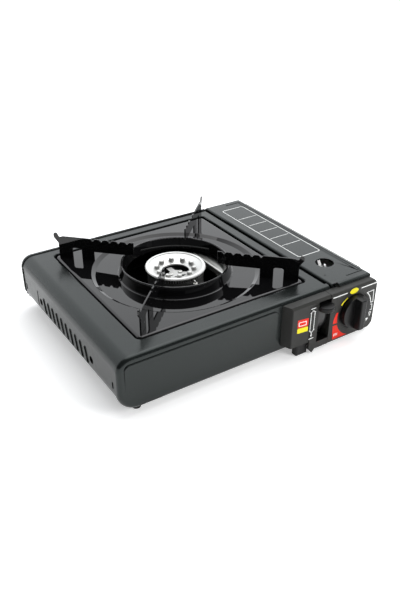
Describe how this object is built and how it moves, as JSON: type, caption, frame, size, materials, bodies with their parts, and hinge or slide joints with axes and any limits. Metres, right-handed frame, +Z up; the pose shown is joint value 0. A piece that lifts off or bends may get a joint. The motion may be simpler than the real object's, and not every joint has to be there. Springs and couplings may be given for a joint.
{
  "type": "portable gas stove",
  "caption": "Flat tabletop gas stove with a lying cartridge bay under a hinged lid, a ring burner, a lift-out drip tray with pan supports, a control knob and a cartridge lock lever",
  "frame": {"origin": "middle of the stove's footprint, knob and panels included, on the table", "axes": "+X to the right seen from the front, +Y to the back, +Z up"},
  "size_m": [0.344, 0.3006, 0.1051],
  "materials": {
    "body_paint": "satin",
    "enamel": "gloss",
    "plated_steel": "satin",
    "burner_metal": "satin",
    "housing_plastic": "matte",
    "knob_plastic": "satin",
    "cast_alloy": "matte",
    "jet_brass": "satin",
    "rubber": "matte",
    "ceramic": "gloss",
    "lead_cover": "matte"
  },
  "bodies": {
    "stove": {"main_case": "body_paint", "front_panel": "body_paint", "back_panel": "body_paint", "base_plate": "body_paint", "bay_pan": "plated_steel", "valve_bracket": "plated_steel", "lever_pin": "plated_steel", "lock_studs": "plated_steel", "guide_tab": "plated_steel", "heat_plate": "plated_steel", "burner_bracket": "plated_steel", "electrode_clip": "plated_steel", "electrode_wire": "plated_steel", "mixing_tube": "plated_steel", "burner_bowl": "plated_steel", "burner_spider": "plated_steel", "lid_pin_front": "plated_steel", "lid_pin_back": "plated_steel", "spider_screws": "plated_steel", "base_screws": "plated_steel", "burner_head": "burner_metal", "lever_housing": "housing_plastic", "control_panel": "housing_plastic", "piezo_unit": "housing_plastic", "regulator_body": "cast_alloy", "diaphragm_cover": "cast_alloy", "jet_nozzle": "jet_brass", "inlet_seal": "rubber", "foot_front_left": "rubber", "foot_back_left": "rubber", "foot_back_right": "rubber", "foot_front_right": "rubber", "electrode_ceramic": "ceramic", "ignition_lead": "lead_cover"},
    "lid": {"lid": "body_paint"},
    "knob": {"knob": "knob_plastic", "valve_stem": "plated_steel"},
    "lever": {"lock_lever": "housing_plastic"},
    "lock": {"lock_plate": "plated_steel"},
    "tray": {"drip_tray": "enamel", "pan_support_front_left": "enamel", "pan_support_front_right": "enamel", "pan_support_back_right": "enamel", "pan_support_back_left": "enamel"}
  },
  "joints": [
    {"name": "lid_hinge", "type": "hinge", "parent": "stove", "child": "lid", "pos_m": [0.113, 0, 0.06835], "axis": [0, -1, 0], "range_deg": [0, 95]},
    {"name": "knob_turn", "type": "hinge", "parent": "stove", "child": "knob", "pos_m": [0.1353, -0.14, 0.0382], "axis": [0, -1, 0], "range_deg": [0, 135]},
    {"name": "lever_turn", "type": "hinge", "parent": "stove", "child": "lever", "pos_m": [0.0876, -0.0997, 0.043], "axis": [1, 0, 0], "range_deg": [0, 40]},
    {"name": "lock_slide", "type": "slide", "parent": "stove", "child": "lock", "axis": [0, -1, 0], "range_m": [0, 0.0069]},
    {"name": "tray_lift", "type": "slide", "parent": "stove", "child": "tray", "axis": [0, 0, 1], "range_m": [0, 0.06]}
  ],
  "couplings": [
    {"joint": "lock_slide", "follows": "lever_turn", "m_per_rad": 0.0098}
  ]
}
